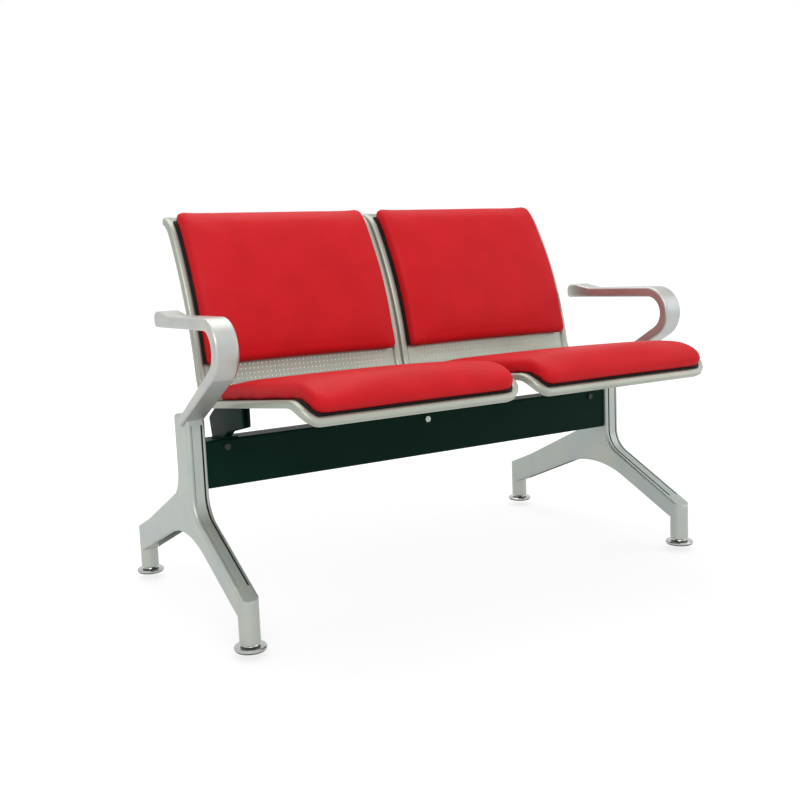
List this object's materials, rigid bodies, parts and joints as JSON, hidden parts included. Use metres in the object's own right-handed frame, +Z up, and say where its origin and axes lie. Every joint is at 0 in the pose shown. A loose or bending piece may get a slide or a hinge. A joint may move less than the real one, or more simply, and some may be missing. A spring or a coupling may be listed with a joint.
{
  "type": "beam seating",
  "caption": "Beam-mounted waiting bench with padded one-piece seat shells, hooked arms at both ends and cast legs on levelling glides.",
  "frame": {"origin": "on the floor, midway along the beam and midway between the cushions' front edge and the rear feet", "axes": "+X along the beam towards the sitter's left-hand end (the viewer's right), -Y towards the front, +Z up"},
  "size_m": [1.176, 0.7695, 0.8322],
  "materials": {
    "black_paint": "satin",
    "polished_casting": "polished",
    "chromed_arm": "polished",
    "silver_paint": "satin",
    "red_cover": "matte",
    "chromed_glide": "polished",
    "black_plastic": "matte",
    "black_bolt": "satin",
    "zinc_steel": "satin"
  },
  "bodies": {
    "bench": {"beam": "black_paint", "leg_left": "polished_casting", "leg_right": "polished_casting", "armrest_left": "chromed_arm", "armrest_right": "chromed_arm", "seat_bracket_left": "black_paint", "seat_bracket_middle": "black_paint", "seat_bracket_right": "black_paint", "foot_inserts": "zinc_steel", "leg_bolts": "black_bolt", "bracket_bolts": "zinc_steel", "seat_bolts": "zinc_steel", "arm_screws": "zinc_steel", "pad_screws": "zinc_steel", "seat_shell_left": "silver_paint", "seat_board_left": "black_plastic", "back_board_left": "black_plastic", "seat_pad_left": "red_cover", "back_pad_left": "red_cover", "seat_shell_right": "silver_paint", "seat_board_right": "black_plastic", "back_board_right": "black_plastic", "seat_pad_right": "red_cover", "back_pad_right": "red_cover"},
    "front_left_glide": {"glide_front_left": "chromed_glide", "glide_base_front_left": "black_plastic"},
    "front_right_glide": {"glide_front_right": "chromed_glide", "glide_base_front_right": "black_plastic"},
    "rear_left_glide": {"glide_rear_left": "chromed_glide", "glide_base_rear_left": "black_plastic"},
    "rear_right_glide": {"glide_rear_right": "chromed_glide", "glide_base_rear_right": "black_plastic"}
  },
  "joints": [
    {"name": "front_left_glide_height", "type": "slide", "parent": "bench", "child": "front_left_glide", "axis": [0, 0, -1], "range_m": [0, 0.015]},
    {"name": "front_right_glide_height", "type": "slide", "parent": "bench", "child": "front_right_glide", "axis": [0, 0, -1], "range_m": [0, 0.015]},
    {"name": "rear_left_glide_height", "type": "slide", "parent": "bench", "child": "rear_left_glide", "axis": [0, 0, -1], "range_m": [0, 0.015]},
    {"name": "rear_right_glide_height", "type": "slide", "parent": "bench", "child": "rear_right_glide", "axis": [0, 0, -1], "range_m": [0, 0.015]}
  ]
}
